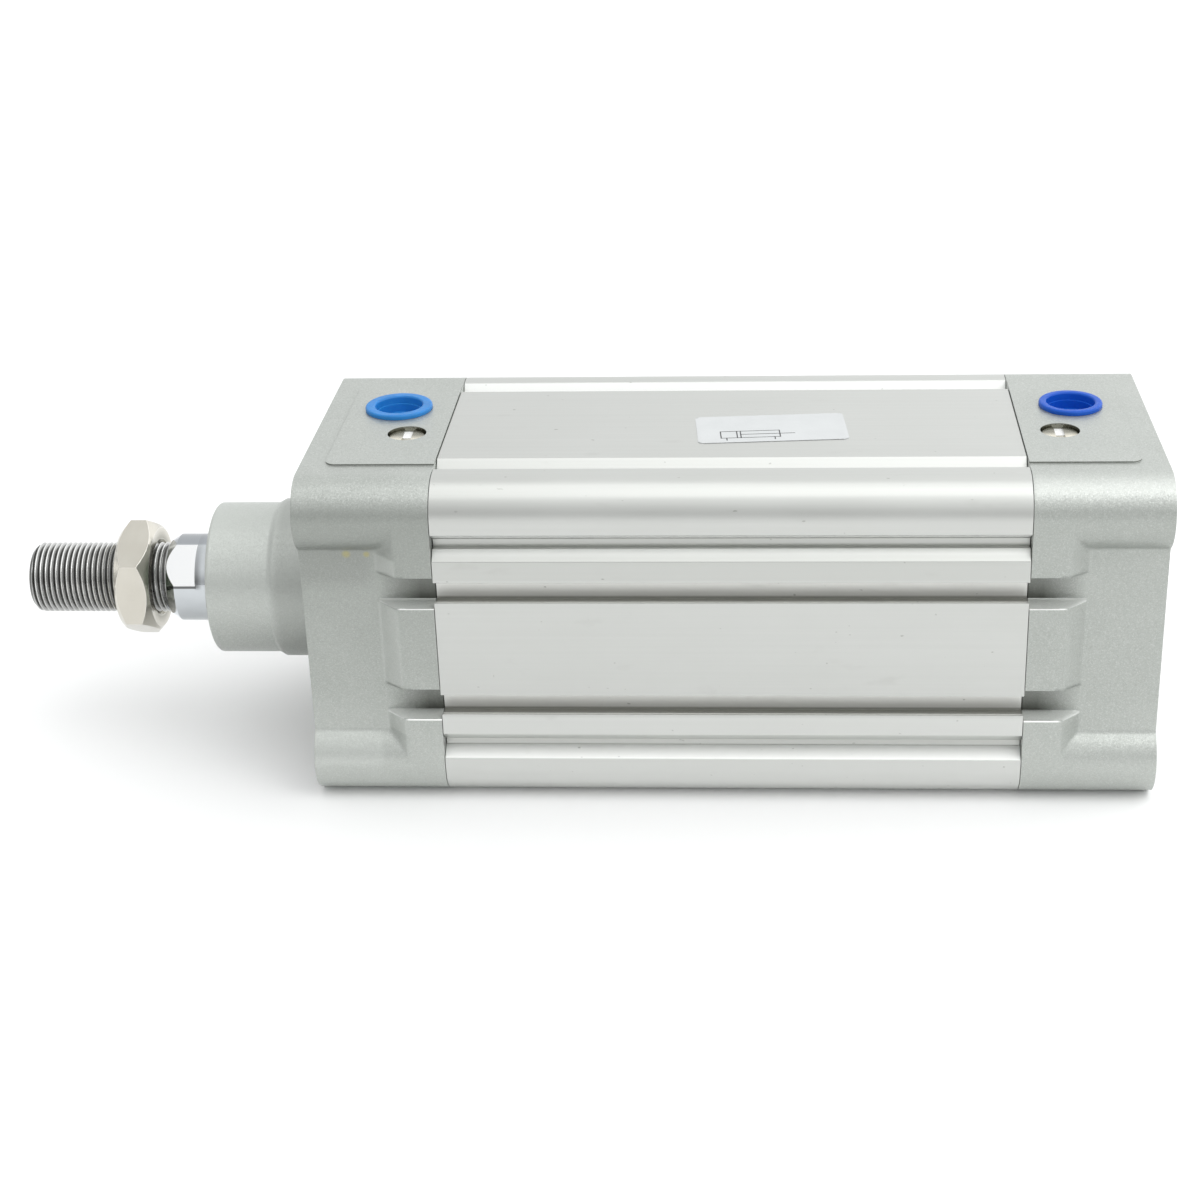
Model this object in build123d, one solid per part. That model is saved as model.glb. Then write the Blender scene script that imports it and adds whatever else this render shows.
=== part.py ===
from build123d import *

import math
import os

# Double-acting profile-tube pneumatic cylinder, 80 mm bore and 100 mm stroke, with adjustable end
# cushioning. Millimetres. The rod axis is X: the origin is the centre of the front mounting face,
# the rod points to -X, the body runs to +X, and both air ports are on top (+Z).

# ---- driving dimensions ----
BORE = 80.0
STROKE = 100.0
SQUARE = 93.0                      # width and height over the end caps and the tube
LENGTH = 128.0 + STROKE            # between the two mounting faces
CAP_LENGTH = 36.0                  # from a mounting face to the tube
CORNER_R = 10.5                    # rounded corners, concentric with the cap screws
SCREW_PITCH = 72.0                 # square pattern of the cap screws and mounting threads
ROD_D = 25.0
WRENCH_FLATS = 22.0                # across the two flats on the rod
FLATS_TILT = 41.6                  # degrees the near flat leans up from the -Y side
COLLAR_D = 45.0                    # centring collar in front, centring recess behind
ROD_THREAD_D = 20.0
ROD_THREAD_LENGTH = 40.0
ROD_SHOULDER = -46.0               # where the rod thread starts
PORT_R = 7.48                      # core of the port thread

# ---- gaps ----
PRESS_GAP = 0.05                   # round a piece pressed into another piece of the same body
RUNNING_GAP = 0.06                 # round a shaft that slides or turns
END_GAP = 0.3                      # between a moving piece and its stop
SEAM_GAP = 0.1                     # between the tube and each cap

HALF = SQUARE / 2
BORE_R = BORE / 2
ROD_R = ROD_D / 2
SEAM = CAP_LENGTH
SPIGOT_LENGTH = 12.0
SPIGOT_END = SEAM + SPIGOT_LENGTH
SCREW_AT = SCREW_PITCH / 2
CORNERS = [(y, z) for y in (-SCREW_AT, SCREW_AT) for z in (-SCREW_AT, SCREW_AT)]

# ---- sections of the tube and the caps, measured inward from a side (depth) and along it ----
GROOVE_MOUTH = (25.6, 33.1)        # outer groove between the flat panel and a corner lobe
GROOVE_CHAMFER = 2.75              # on the panel's side, at 45 degrees
GROOVE_FLOOR = (27.8, 30.6)
GROOVE_DEPTH = 4.2
SLOT_CENTRE = 16.6                 # sensor slots on the two plain sides
SLOT_MOUTH = 5.8
SLOT_WIDTH = 7.8
SLOT_LIP = 1.3
SLOT_DEPTH = 5.2
RECESS_DEPTH = 5.0                 # side recess of a cap
RECESS_FILLET = 2.2
RAMP_FOOT = SEAM - 15.5            # where the raised blocks start to rise from the recess
RAMP_TOP = SEAM - 10.0             # where they reach the full width of the cap
NOTCH = (12.0, 20.9)               # gap between the middle block and an outer block
NOTCH_DRAFT = 0.6
PAD_HEIGHT = 0.45                  # raised pad round the port and the cushion screw
PAD_HALF_WIDTH = 30.5
PAD_START = 6.6
PAD_CORNER_R = 3.0

# ---- front nose ----
NOSE_FRONT = -32.3
NOSE_R = 21.4
COLLAR_LENGTH = 13.0
COLLAR_TAPER = 2.0
NOSE_ROUND = 1.0

# ---- cushion chamber, spears and seals ----
CHAMBER_R = 18.5
CHAMBER_END = 14.0                 # from the mounting face
SPEAR_R = 18.0
CUSHION_GROOVE = (42.0, 46.0)
CUSHION_GROOVE_R = 22.0
TUBE_SEAL_AT = 42.6
TUBE_SEAL_SECTION_R = 1.05
TUBE_SEAL_GROOVE_R = 37.8
TUBE_SEAL_GROOVE_WIDTH = 3.2

# ---- rod bearing and rod seal ----
BUSH_R = 15.0
BUSH_FRONT = -18.0
ROD_SEAL_R = 18.0
ROD_SEAL_POCKET = 10.0
ROD_BORE_R = 13.0

# ---- cap screws: each head carries a mounting thread ----
HEAD_R = 8.0
HEAD_FACE = 0.3
HEAD_LENGTH = 21.6
SHANK_R = 5.0
SHANK_END = SEAM + 30.0
MOUNT_THREAD_R = 4.25
MOUNT_THREAD_DEPTH = 16.7
SCREW_SOCKET = 6.0
SCREW_SOCKET_DEPTH = 3.0

# ---- port, its plug and the cushion needle, all upright ----
TOP = HALF + PAD_HEIGHT
PORT_X, PORT_Y = 20.5, 11.0
PORT_LEAD_IN_R = 8.33
PORT_LEAD_IN = 4.25
PORT_THREAD_LENGTH = 12.0
PORT_PASSAGE_R = 4.0
PORT_PASSAGE_END = 8.0
FRONT_PLUG_FLANGE_R = 9.4
REAR_PLUG_FLANGE_R = 8.7
PLUG_FLANGE = 1.3
PLUG_RIM_ROUND = 0.6
PLUG_STEM = 3.95
PLUG_CUP_R = 6.6
PLUG_CUP_DEPTH = 2.2
PLUG_WELL_R = 6.1
PLUG_FLOOR = 0.9
NEEDLE_X, NEEDLE_Y = 25.5, -8.0
NEEDLE_HOLE_R = 5.3
NEEDLE_HOLE_END = 34.0
NEEDLE_LAND_HOLE_R = 4.0
NEEDLE_SEAT = 23.0
NEEDLE_SEAT_R = 1.7
NEEDLE_TOP = TOP - 0.9
NEEDLE_HEAD_LENGTH = 9.5
NEEDLE_LAND_R = 3.92
NEEDLE_LAND_END = 29.0
NEEDLE_GROOVE = (31.0, 33.0)
NEEDLE_GROOVE_R = 2.7
NEEDLE_TIP = (22.8, 0.7)
NEEDLE_SLOT = (2.5, 0.7)
BLEED_R = 1.5
BLEED_Z = 26.0

# ---- piston, drawn with the rod fully retracted ----
PISTON_R = 39.5
PISTON_FRONT = LENGTH - SPIGOT_END - 32.0 + END_GAP
PISTON_REAR = LENGTH - SPIGOT_END - END_GAP
BUMPER_PROUD = 1.0
BUMPER_DEPTH = 2.0
BUMPER_R = (24.0, 30.0)
PISTON_MIDDLE = (PISTON_FRONT + PISTON_REAR) / 2
LIP_SEAL_OFFSET = (7.5, 12.5)
LIP_GROOVE_R = 34.0
GUIDE_HALF_WIDTH = 5.0
GUIDE_GROOVE_R = 37.6
MAGNET_HALF_WIDTH = 3.0
MAGNET_R = (26.0, 33.0)
STUD_R = 8.0
STUD_END_BEYOND_PISTON = 22.0
SPEAR_LENGTH = 21.5
ROD_O_RING_AT = -6.8
ROD_O_RING_SECTION_R = 0.95
PISTON_NUT_FLATS = 24.0
PISTON_NUT_LENGTH = 9.8
PISTON_NUT_POCKET_R = 14.2

# ---- rod nut ----
NUT_FLATS = 30.0
NUT_FRONT = -60.0
NUT_LENGTH = 10.0
NUT_TURN = -3.5                    # degrees about X from a corner straight up
NUT_CHAMFER_R = 14.2
NUT_CHAMFER_SLOPE = 0.88
THREAD_PITCH = 1.5
THREAD_DEPTH = 0.92
THREAD_ROOT_FLAT = 0.2
THREAD_CREST_FLAT = 0.2
CUT_THREADS = 10                   # turns cut between the shoulder and just past the nut

# ---- label ----
LABEL = (40.7, 19.6, 0.12)
LABEL_CORNER_R = 1.5
LABEL_AT = (125.0, -4.5)
LABEL_TURN = 4.2

FROM_BASE = (Align.CENTER, Align.CENTER, Align.MIN)
CUT_OVER = 1.0                     # how far a cutting body runs past the face it opens


def along_x(x0, x1, radius):
    """A round bar on the rod axis from x0 to x1."""
    return Pos(x0, 0, 0) * Rot(0, 90, 0) * Cylinder(radius, x1 - x0, align=FROM_BASE)


def ring(x0, x1, outer, inner):
    """A sleeve on the rod axis."""
    return along_x(x0, x1, outer) - along_x(x0 - CUT_OVER, x1 + CUT_OVER, inner)


def turned(points):
    """A body turned about the rod axis from (x, radius) points."""
    return revolve(make_face(Polyline(*points, close=True)), Axis.X, 360)


def upright(x, y, z0, z1, radius):
    """A round bar standing along Z."""
    return Pos(x, y, z0) * Cylinder(radius, z1 - z0, align=FROM_BASE)


def o_ring(x, middle_r, section_r):
    """An O-ring round the rod axis."""
    return Pos(x, 0, 0) * Rot(0, 90, 0) * Torus(middle_r, section_r)


def hexagon_bar(x0, x1, across_flats):
    """A hexagonal bar on the rod axis with corners at top and bottom."""
    corner_r = across_flats / math.sqrt(3)
    return extrude(Plane.YZ.offset(x0) * RegularPolygon(corner_r, 6, rotation=30), x1 - x0)


def to_rear(shape):
    """The same piece at the other end of the cylinder."""
    return mirror(shape, about=Plane.YZ.offset(LENGTH / 2))


def save(name, *bodies):
    """Writes one node. Several bodies are identical pieces that share it."""
    for body in bodies:
        body.label = name
    shape = bodies[0] if len(bodies) == 1 else Compound(label=name, children=list(bodies))
    export_step(shape, os.path.join("parts", f"{name}.step"))


def side_strip(points, side):
    """A face in the YZ plane from (depth, along) points, on one of the four sides."""
    outline = make_face(Polyline(*[(-HALF + depth, along) for depth, along in points], close=True))
    return Plane.YZ * (Rot(0, 0, 90 * side) * outline)


def outer_groove(sign):
    """Points of the groove beside a corner lobe: wide chamfer, narrow channel, sloping wall."""
    mouth_low, mouth_high = GROOVE_MOUTH
    floor_low, floor_high = GROOVE_FLOOR
    points = [
        (-CUT_OVER, mouth_high),
        (0, mouth_high),
        (GROOVE_DEPTH, floor_high),
        (GROOVE_DEPTH, floor_low),
        (GROOVE_CHAMFER, mouth_low + GROOVE_CHAMFER),
        (0, mouth_low),
        (-CUT_OVER, mouth_low),
    ]
    return [(depth, sign * along) for depth, along in points]


def sensor_slot(sign):
    """Points of the T-shaped sensor slot."""
    mouth, width = SLOT_MOUTH / 2, SLOT_WIDTH / 2
    points = [
        (-CUT_OVER, mouth),
        (SLOT_LIP, mouth),
        (SLOT_LIP, width),
        (SLOT_DEPTH, width),
        (SLOT_DEPTH, -width),
        (SLOT_LIP, -width),
        (SLOT_LIP, -mouth),
        (-CUT_OVER, -mouth),
    ]
    return [(depth, sign * SLOT_CENTRE + along) for depth, along in points]


def profile_tube():
    """Extruded barrel with screw channels in its corners and sensor slots in two sides."""
    section = Plane.YZ * RectangleRounded(SQUARE, SQUARE, CORNER_R)
    section -= Plane.YZ * Circle(BORE_R)
    for y, z in CORNERS:
        section -= Plane.YZ * (Pos(y, z) * Circle(SHANK_R + PRESS_GAP))
    for side in range(4):
        for sign in (-1, 1):
            section -= side_strip(outer_groove(sign), side)
            if side % 2 == 0:
                section -= side_strip(sensor_slot(sign), side)
    length = LENGTH - 2 * (SEAM + SEAM_GAP)
    return extrude(Pos(SEAM + SEAM_GAP, 0, 0) * section, length)


def recess_section(side):
    """The side recess between two corner lobes, with a fillet along each lobe."""
    outline = Pos(-HALF, 0) * Rectangle(2 * RECESS_DEPTH, SCREW_PITCH)
    for sign in (-1, 1):
        outline -= Pos(-SCREW_AT, sign * SCREW_AT) * Circle(CORNER_R)
    floor_corners = outline.vertices().group_by(Axis.X)[-1]
    outline = fillet(floor_corners, RECESS_FILLET)
    return Plane.YZ * (Rot(0, 0, 90 * side) * outline)


def notch_section(sign, side):
    """The gap between the middle block and an outer block, with drafted walls."""
    low, high = NOTCH
    points = [
        (-CUT_OVER, low),
        (0, low),
        (RECESS_DEPTH, low + NOTCH_DRAFT),
        (RECESS_DEPTH, high - NOTCH_DRAFT),
        (0, high),
        (-CUT_OVER, high),
    ]
    return side_strip([(depth, sign * along) for depth, along in points], side)


def side_recess(side):
    """All that is cut away from one side of a cap."""
    start = -CUT_OVER
    wedge_points = [
        (start, -HALF - CUT_OVER),
        (start, -HALF + RECESS_DEPTH),
        (RAMP_FOOT, -HALF + RECESS_DEPTH),
        (RAMP_TOP, -HALF),
        (RAMP_TOP, -HALF - CUT_OVER),
    ]
    wedge = extrude(make_face(Polyline(*wedge_points, close=True)), HALF, both=True)
    wedge = Rot(90 * side, 0, 0) * wedge
    cut = extrude(Pos(start, 0, 0) * recess_section(side), RAMP_TOP - start) & wedge
    for sign in (-1, 1):
        cut += extrude(Pos(RAMP_FOOT, 0, 0) * notch_section(sign, side), SEAM - RAMP_FOOT)
    return cut


def cap_blank():
    """What both caps share: block, pad, spigot, screw holes, port, needle hole and chamber."""
    cap = extrude(Plane.YZ * RectangleRounded(SQUARE, SQUARE, CORNER_R), CAP_LENGTH)
    for side in (0, 1, 2):
        cap -= side_recess(side)
    pad_length = SEAM - PAD_START
    pad = Pos(SEAM, 0, 0) * extrude(
        RectangleRounded(2 * pad_length, 2 * PAD_HALF_WIDTH, PAD_CORNER_R), TOP
    )
    cap += pad & (Pos(PAD_START, 0, HALF - CUT_OVER) * Box(
        pad_length, SQUARE, 2 * CUT_OVER, align=(Align.MIN, Align.CENTER, Align.MIN)
    ))
    cap += along_x(SEAM - CUT_OVER, SPIGOT_END, BORE_R - PRESS_GAP)

    half_groove = TUBE_SEAL_GROOVE_WIDTH / 2
    cap -= ring(TUBE_SEAL_AT - half_groove, TUBE_SEAL_AT + half_groove, BORE_R, TUBE_SEAL_GROOVE_R)
    cap -= along_x(CHAMBER_END, SPIGOT_END + CUT_OVER, CHAMBER_R)
    cap -= along_x(*CUSHION_GROOVE, CUSHION_GROOVE_R)

    for y, z in CORNERS:
        cap -= Pos(0, y, z) * along_x(-CUT_OVER, HEAD_FACE + HEAD_LENGTH, HEAD_R + PRESS_GAP)
        cap -= Pos(0, y, z) * along_x(0, SEAM + CUT_OVER, SHANK_R + PRESS_GAP)

    thread_top = TOP - PORT_LEAD_IN
    thread_end = thread_top - PORT_THREAD_LENGTH
    cap -= upright(PORT_X, PORT_Y, thread_top, TOP + CUT_OVER, PORT_LEAD_IN_R)
    cap -= upright(PORT_X, PORT_Y, thread_end, TOP, PORT_R)
    cap -= upright(PORT_X, PORT_Y, PORT_PASSAGE_END, TOP, PORT_PASSAGE_R)

    cap -= upright(NEEDLE_X, NEEDLE_Y, NEEDLE_HOLE_END, TOP + CUT_OVER, NEEDLE_HOLE_R)
    cap -= upright(NEEDLE_X, NEEDLE_Y, NEEDLE_SEAT, TOP, NEEDLE_LAND_HOLE_R)
    cap -= upright(NEEDLE_X, NEEDLE_Y, CHAMBER_END, TOP, NEEDLE_SEAT_R)
    cap -= Pos(0, NEEDLE_Y, BLEED_Z) * along_x(NEEDLE_X, SPIGOT_END + CUT_OVER, BLEED_R)
    return cap


def front_cap():
    """Cap with the seat of the rod bearing. Its nose is a node of its own."""
    return cap_blank() - along_x(-CUT_OVER, CHAMBER_END + CUT_OVER, BUSH_R + PRESS_GAP)


def front_nose():
    """Nose of the front cap's casting, with the centring collar, round the rod bearing and seal."""
    collar_r = COLLAR_D / 2
    nose = turned([
        (0, 0),
        (0, collar_r),
        (-COLLAR_LENGTH, collar_r),
        (-COLLAR_LENGTH - COLLAR_TAPER, NOSE_R),
        (NOSE_FRONT, NOSE_R),
        (NOSE_FRONT, 0),
    ])
    front_rim = nose.edges().filter_by(GeomType.CIRCLE).sort_by(Axis.X)[0]
    nose = fillet(front_rim, NOSE_ROUND)
    nose -= along_x(NOSE_FRONT - CUT_OVER, CUT_OVER, ROD_BORE_R)
    nose -= along_x(NOSE_FRONT - CUT_OVER, NOSE_FRONT + ROD_SEAL_POCKET, ROD_SEAL_R)
    nose -= along_x(BUSH_FRONT, CUT_OVER, BUSH_R + PRESS_GAP)
    return nose


def rear_cap():
    """Cap with the centring recess."""
    recess_depth = 4.0
    return to_rear(cap_blank() - along_x(-CUT_OVER, recess_depth, COLLAR_D / 2))


def cap_screw(y, z):
    """One screw from cap to tube: its head has a mounting thread with a key socket at the bottom."""
    head_end = HEAD_FACE + HEAD_LENGTH
    socket_start = HEAD_FACE + MOUNT_THREAD_DEPTH
    screw = along_x(HEAD_FACE, head_end, HEAD_R) + along_x(head_end, SHANK_END, SHANK_R)
    screw = chamfer(screw.edges().filter_by(GeomType.CIRCLE).sort_by(Axis.X)[-1], CUT_OVER)
    screw -= along_x(HEAD_FACE - CUT_OVER, socket_start, MOUNT_THREAD_R)
    screw -= hexagon_bar(socket_start, socket_start + SCREW_SOCKET_DEPTH, SCREW_SOCKET)
    return Pos(0, y, z) * screw


def tube_seal():
    """O-ring between a cap's spigot and the tube."""
    middle_r = (TUBE_SEAL_GROOVE_R + BORE_R) / 2
    return o_ring(TUBE_SEAL_AT, middle_r, TUBE_SEAL_SECTION_R)


def cushion_seal():
    """Ring that closes on the spear near the end of the stroke, with a bevelled mouth."""
    start, end = CUSHION_GROOVE
    inner = SPEAR_R + RUNNING_GAP
    bevel = 1.0
    return turned([
        (start + PRESS_GAP, inner + bevel),
        (start + bevel, inner),
        (end - bevel, inner),
        (end - PRESS_GAP, inner + bevel),
        (end - PRESS_GAP, CUSHION_GROOVE_R - PRESS_GAP),
        (start + PRESS_GAP, CUSHION_GROOVE_R - PRESS_GAP),
    ])


def rod_bearing():
    """Plain bush that guides the rod."""
    return ring(BUSH_FRONT + PRESS_GAP, CHAMBER_END - PRESS_GAP, BUSH_R, ROD_R + RUNNING_GAP)


def rod_seal():
    """Rod seal and wiper in one: a rim that closes the nose and a lip at each end."""
    inner = ROD_R + RUNNING_GAP
    outer = ROD_SEAL_R - PRESS_GAP
    back = NOSE_FRONT + ROD_SEAL_POCKET - PRESS_GAP
    lip, waist, wiper = 1.6, 2.4, 0.7
    return turned([
        (NOSE_FRONT - wiper, inner),
        (NOSE_FRONT + lip, inner),
        (NOSE_FRONT + waist, inner + lip),
        (back - waist, inner + lip),
        (back - lip, inner),
        (back, inner),
        (back, inner + lip),
        (back - waist, inner + waist),
        (back, outer - lip),
        (back, outer),
        (NOSE_FRONT, outer),
        (NOSE_FRONT, inner + waist),
    ])


def label():
    """Stick-on label on the top panel of the tube, put on slightly crooked."""
    width, height, thickness = LABEL
    sheet = extrude(RectangleRounded(width, height, LABEL_CORNER_R), thickness)
    return Pos(*LABEL_AT, HALF) * Rot(0, 0, LABEL_TURN) * sheet


def thread_groove(middle_x):
    """One turn of the rod thread, drawn as a ring-shaped groove."""
    thread_r = ROD_THREAD_D / 2
    root = THREAD_ROOT_FLAT / 2
    mouth = (THREAD_PITCH - THREAD_CREST_FLAT) / 2
    return turned([
        (middle_x - mouth, thread_r),
        (middle_x - root, thread_r - THREAD_DEPTH),
        (middle_x + root, thread_r - THREAD_DEPTH),
        (middle_x + mouth, thread_r),
        (middle_x + mouth, thread_r + CUT_OVER),
        (middle_x - mouth, thread_r + CUT_OVER),
    ])


def piston_rod():
    """Rod with thread, shoulder and wrench flats in front, and the piston stud behind."""
    thread_r = ROD_THREAD_D / 2
    thread_end = ROD_SHOULDER - ROD_THREAD_LENGTH
    stud_start = PISTON_FRONT + BUMPER_PROUD
    stud_end = PISTON_REAR + STUD_END_BEYOND_PISTON - BUMPER_PROUD
    end_chamfer = 1.5
    shoulder_length, shoulder_drop = 2.6, 1.6
    rod = turned([
        (thread_end, 0),
        (thread_end, thread_r - end_chamfer),
        (thread_end + end_chamfer, thread_r),
        (ROD_SHOULDER, thread_r),
        (ROD_SHOULDER, ROD_R - shoulder_drop),
        (ROD_SHOULDER + shoulder_length, ROD_R),
        (stud_start, ROD_R),
        (stud_start, STUD_R),
        (stud_end - end_chamfer, STUD_R),
        (stud_end, STUD_R - end_chamfer),
        (stud_end, 0),
    ])
    first_groove = ROD_SHOULDER - (THREAD_PITCH - THREAD_CREST_FLAT) / 2 - THREAD_CREST_FLAT
    for turn in range(CUT_THREADS):
        rod -= thread_groove(first_groove - turn * THREAD_PITCH)

    flats_length = 8.7
    flats_middle = ROD_SHOULDER + flats_length / 2
    for turn in (0, 180):
        chip = Pos(flats_middle, -WRENCH_FLATS / 2, 0) * Box(
            flats_length, ROD_D, ROD_D, align=(Align.CENTER, Align.MAX, Align.CENTER)
        )
        rod -= Rot(turn - FLATS_TILT, 0, 0) * chip
    return rod


def front_piston_half():
    """Front half of the piston, with its lip-seal groove and half of the guide and magnet grooves."""
    face = PISTON_FRONT + BUMPER_PROUD
    low, high = LIP_SEAL_OFFSET
    half = ring(face, PISTON_MIDDLE, PISTON_R, STUD_R + PRESS_GAP)
    half -= ring(PISTON_MIDDLE - high, PISTON_MIDDLE - low, BORE_R, LIP_GROOVE_R)
    half -= ring(PISTON_MIDDLE - GUIDE_HALF_WIDTH, PISTON_MIDDLE + CUT_OVER, BORE_R, GUIDE_GROOVE_R)
    half -= ring(PISTON_MIDDLE - MAGNET_HALF_WIDTH, PISTON_MIDDLE + CUT_OVER,
                 MAGNET_R[1], MAGNET_R[0])
    half -= ring(face - CUT_OVER, face - BUMPER_PROUD + BUMPER_DEPTH, BUMPER_R[1], BUMPER_R[0])
    return half


def piston_mirror(shape):
    """The matching piece on the rear side of the piston."""
    return mirror(shape, about=Plane.YZ.offset(PISTON_MIDDLE))


def front_piston_with_o_ring_groove():
    """Only the front half seals on the rod."""
    groove_at = PISTON_MIDDLE + ROD_O_RING_AT
    groove_half = ROD_O_RING_SECTION_R + PRESS_GAP
    groove_r = STUD_R + 2 * groove_half
    return front_piston_half() - along_x(groove_at - groove_half, groove_at + groove_half, groove_r)


def rod_o_ring():
    """Static seal between the rod stud and the piston."""
    middle_r = STUD_R + PRESS_GAP + ROD_O_RING_SECTION_R
    return o_ring(PISTON_MIDDLE + ROD_O_RING_AT, middle_r, ROD_O_RING_SECTION_R)


def piston_magnet():
    """Magnet ring that the sensors in the slots read."""
    half_width = MAGNET_HALF_WIDTH - PRESS_GAP
    return ring(PISTON_MIDDLE - half_width, PISTON_MIDDLE + half_width,
                MAGNET_R[1] - PRESS_GAP, MAGNET_R[0] + PRESS_GAP)


def bumper():
    """Elastic stop ring let into the front face of the piston."""
    inner, outer = BUMPER_R
    return ring(PISTON_FRONT, PISTON_FRONT + BUMPER_DEPTH - PRESS_GAP,
                outer - PRESS_GAP, inner + PRESS_GAP)


def lip_seal():
    """Piston lip seal, its mouth towards the front chamber."""
    low, high = LIP_SEAL_OFFSET
    front = PISTON_MIDDLE - high + PRESS_GAP
    back = PISTON_MIDDLE - low - PRESS_GAP
    inner = LIP_GROOVE_R + RUNNING_GAP
    outer = BORE_R - RUNNING_GAP
    middle = (inner + outer) / 2
    lip, mouth_depth = 0.9, 2.6
    return turned([
        (front, inner),
        (front, inner + lip),
        (front + mouth_depth, middle),
        (front, outer - lip),
        (front, outer),
        (back, outer - lip),
        (back, inner),
    ])


def guide_ring():
    """Wear ring that carries the piston in the bore."""
    half_width = GUIDE_HALF_WIDTH - PRESS_GAP
    return ring(PISTON_MIDDLE - half_width, PISTON_MIDDLE + half_width,
                BORE_R - RUNNING_GAP, GUIDE_GROOVE_R + RUNNING_GAP)


def spear_points(inner, face, nose):
    """Section of a cushion spear with a tapered nose."""
    taper, taper_drop = 3.0, 0.8
    inward = math.copysign(taper, face - nose)
    return [
        (face, inner),
        (face, SPEAR_R),
        (nose + inward, SPEAR_R),
        (nose, SPEAR_R - taper_drop),
        (nose, inner),
    ]


def front_spear():
    """Cushion spear round the rod, against the front of the piston."""
    face = PISTON_FRONT + BUMPER_PROUD
    return turned(spear_points(ROD_R + PRESS_GAP, face, face - SPEAR_LENGTH))


def rear_spear():
    """Cushion spear behind the piston, with a pocket for the piston nut."""
    face = PISTON_REAR - BUMPER_PROUD
    nose = face + SPEAR_LENGTH
    spear = turned(spear_points(STUD_R + PRESS_GAP, face, nose))
    return spear - along_x(nose - PISTON_NUT_LENGTH, nose + CUT_OVER, PISTON_NUT_POCKET_R)


def piston_nut():
    """Nut that clamps the piston and the rear spear on the rod."""
    seat = PISTON_REAR - BUMPER_PROUD + SPEAR_LENGTH - PISTON_NUT_LENGTH
    end = seat + PISTON_NUT_LENGTH
    blank = hexagon_bar(seat, end, PISTON_NUT_FLATS)
    return blank - along_x(seat - CUT_OVER, end + CUT_OVER, STUD_R + PRESS_GAP)


def rod_nut():
    """Jam nut on the rod thread, chamfered on both faces."""
    back = NUT_FRONT + NUT_LENGTH
    corner_r = NUT_FLATS / math.sqrt(3)
    reach = corner_r + CUT_OVER
    drop = (reach - NUT_CHAMFER_R) * NUT_CHAMFER_SLOPE
    blank = hexagon_bar(NUT_FRONT, back, NUT_FLATS) & turned([
        (NUT_FRONT, 0),
        (NUT_FRONT, NUT_CHAMFER_R),
        (NUT_FRONT + drop, reach),
        (back - drop, reach),
        (back, NUT_CHAMFER_R),
        (back, 0),
    ])
    bore_r = ROD_THREAD_D / 2 + RUNNING_GAP
    countersink = 1.0
    cutter = turned([
        (NUT_FRONT, 0),
        (NUT_FRONT, bore_r + countersink),
        (NUT_FRONT + countersink, bore_r),
        (back - countersink, bore_r),
        (back, bore_r + countersink),
        (back, 0),
    ])
    return Rot(NUT_TURN, 0, 0) * (blank - cutter)


def port_plug(flange_r):
    """Push-in shipping plug: a flange on the pad and a stepped cup in the port's lead-in."""
    seat = TOP + PRESS_GAP
    top = seat + PLUG_FLANGE
    bottom = TOP - PLUG_STEM
    ledge = top - PLUG_CUP_DEPTH
    stem_r = PORT_LEAD_IN_R - RUNNING_GAP
    points = [
        (0, bottom),
        (stem_r, bottom),
        (stem_r, seat),
        (flange_r, seat),
        (flange_r, top),
        (PLUG_CUP_R, top),
        (PLUG_CUP_R, ledge),
        (PLUG_WELL_R, ledge),
        (PLUG_WELL_R, bottom + PLUG_FLOOR),
        (0, bottom + PLUG_FLOOR),
    ]
    outline = make_face(Polyline(*points, close=True))
    outline = fillet(outline.vertices().group_by(Axis.Y)[-1], PLUG_RIM_ROUND)
    return Pos(PORT_X, PORT_Y, 0) * revolve(Plane.XZ * outline, Axis.Z, 360)


def cushion_needle():
    """Slotted screw with a sealed land and a tapered tip that throttles the escaping air."""
    tip_z, tip_r = NEEDLE_TIP
    head_r = NEEDLE_HOLE_R - RUNNING_GAP
    head_bottom = NEEDLE_TOP - NEEDLE_HEAD_LENGTH
    bevel = 0.5
    low, high = NEEDLE_GROOVE
    points = [
        (0, NEEDLE_TOP),
        (head_r - bevel, NEEDLE_TOP),
        (head_r, NEEDLE_TOP - bevel),
        (head_r, head_bottom),
        (NEEDLE_LAND_R, head_bottom),
        (NEEDLE_LAND_R, high),
        (NEEDLE_GROOVE_R, high),
        (NEEDLE_GROOVE_R, low),
        (NEEDLE_LAND_R, low),
        (NEEDLE_LAND_R, NEEDLE_LAND_END),
        (tip_r, tip_z),
        (0, tip_z),
    ]
    needle = revolve(Plane.XZ * make_face(Polyline(*points, close=True)), Axis.Z, 360)
    slot_width, slot_depth = NEEDLE_SLOT
    needle -= Pos(0, 0, NEEDLE_TOP) * Box(
        slot_width, 4 * head_r, slot_depth, align=(Align.CENTER, Align.CENTER, Align.MAX)
    )
    return Pos(NEEDLE_X, NEEDLE_Y, 0) * needle


def needle_seal():
    """O-ring on the needle's land."""
    low, high = NEEDLE_GROOVE
    inner = NEEDLE_GROOVE_R + RUNNING_GAP
    outer = NEEDLE_LAND_HOLE_R - RUNNING_GAP
    section_r = (outer - inner) / 2
    return Pos(NEEDLE_X, NEEDLE_Y, (low + high) / 2) * Torus((outer + inner) / 2, section_r)


os.makedirs("parts", exist_ok=True)

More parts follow.
